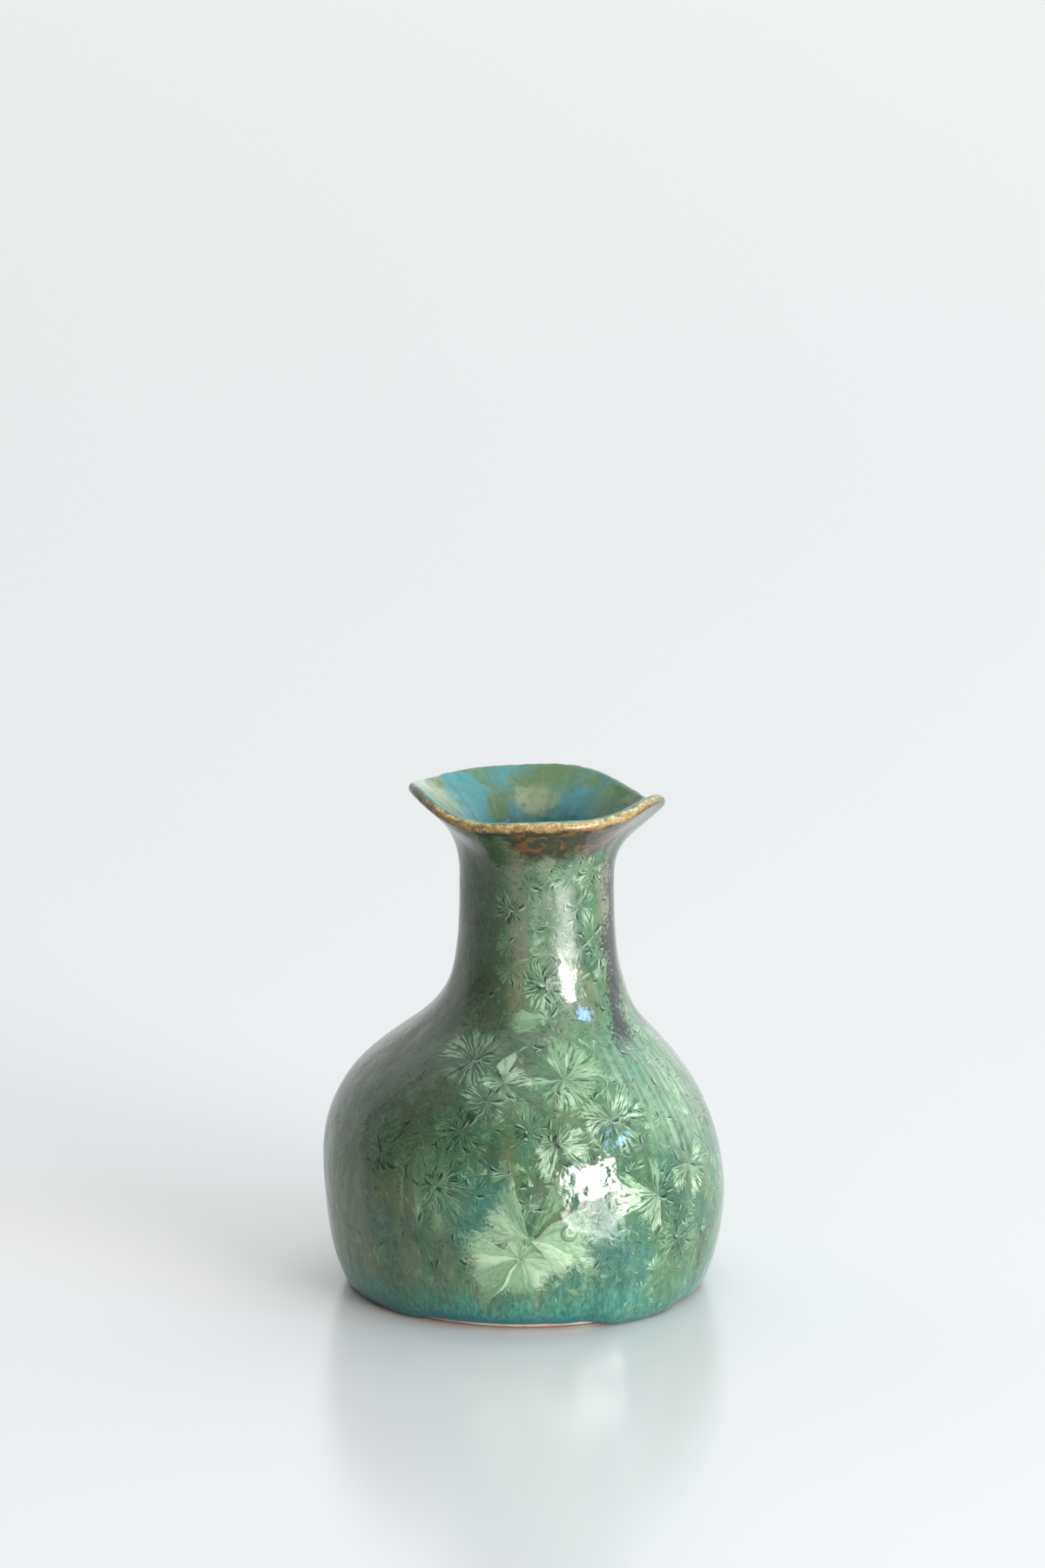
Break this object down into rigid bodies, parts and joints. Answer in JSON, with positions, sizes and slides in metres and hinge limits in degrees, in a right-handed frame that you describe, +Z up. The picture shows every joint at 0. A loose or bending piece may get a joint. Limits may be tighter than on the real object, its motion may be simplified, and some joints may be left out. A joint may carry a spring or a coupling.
{
  "type": "bud vase",
  "caption": "Squat round bud vase with a narrow neck and a waving flared lip, in crystalline green glaze over stoneware.",
  "frame": {"origin": "middle of the flat foot, on the surface the vase stands on", "axes": "+Z up through the mouth, -Y towards the viewer's side with the largest crystals, +X the way the neck leans"},
  "size_m": [0.0841, 0.0838, 0.1072],
  "materials": {
    "bare_clay": "matte unglazed pinkish-beige stoneware",
    "crystal_glaze": "gloss mottled green with pale needle crystals and olive streaks",
    "lining_glaze": "gloss turquoise with olive patches",
    "golden_glaze": "gloss golden brown with dark speckles"
  },
  "bodies": {
    "root": {"base_slab": "bare_clay", "belly_wall": "bare_clay", "shoulder_wall": "bare_clay", "neck_wall": "bare_clay", "flared_rim": "bare_clay", "outer_glaze": "crystal_glaze", "foot_glaze_run": "crystal_glaze", "inner_glaze": "lining_glaze", "rim_glaze": "golden_glaze"}
  },
  "joints": []
}
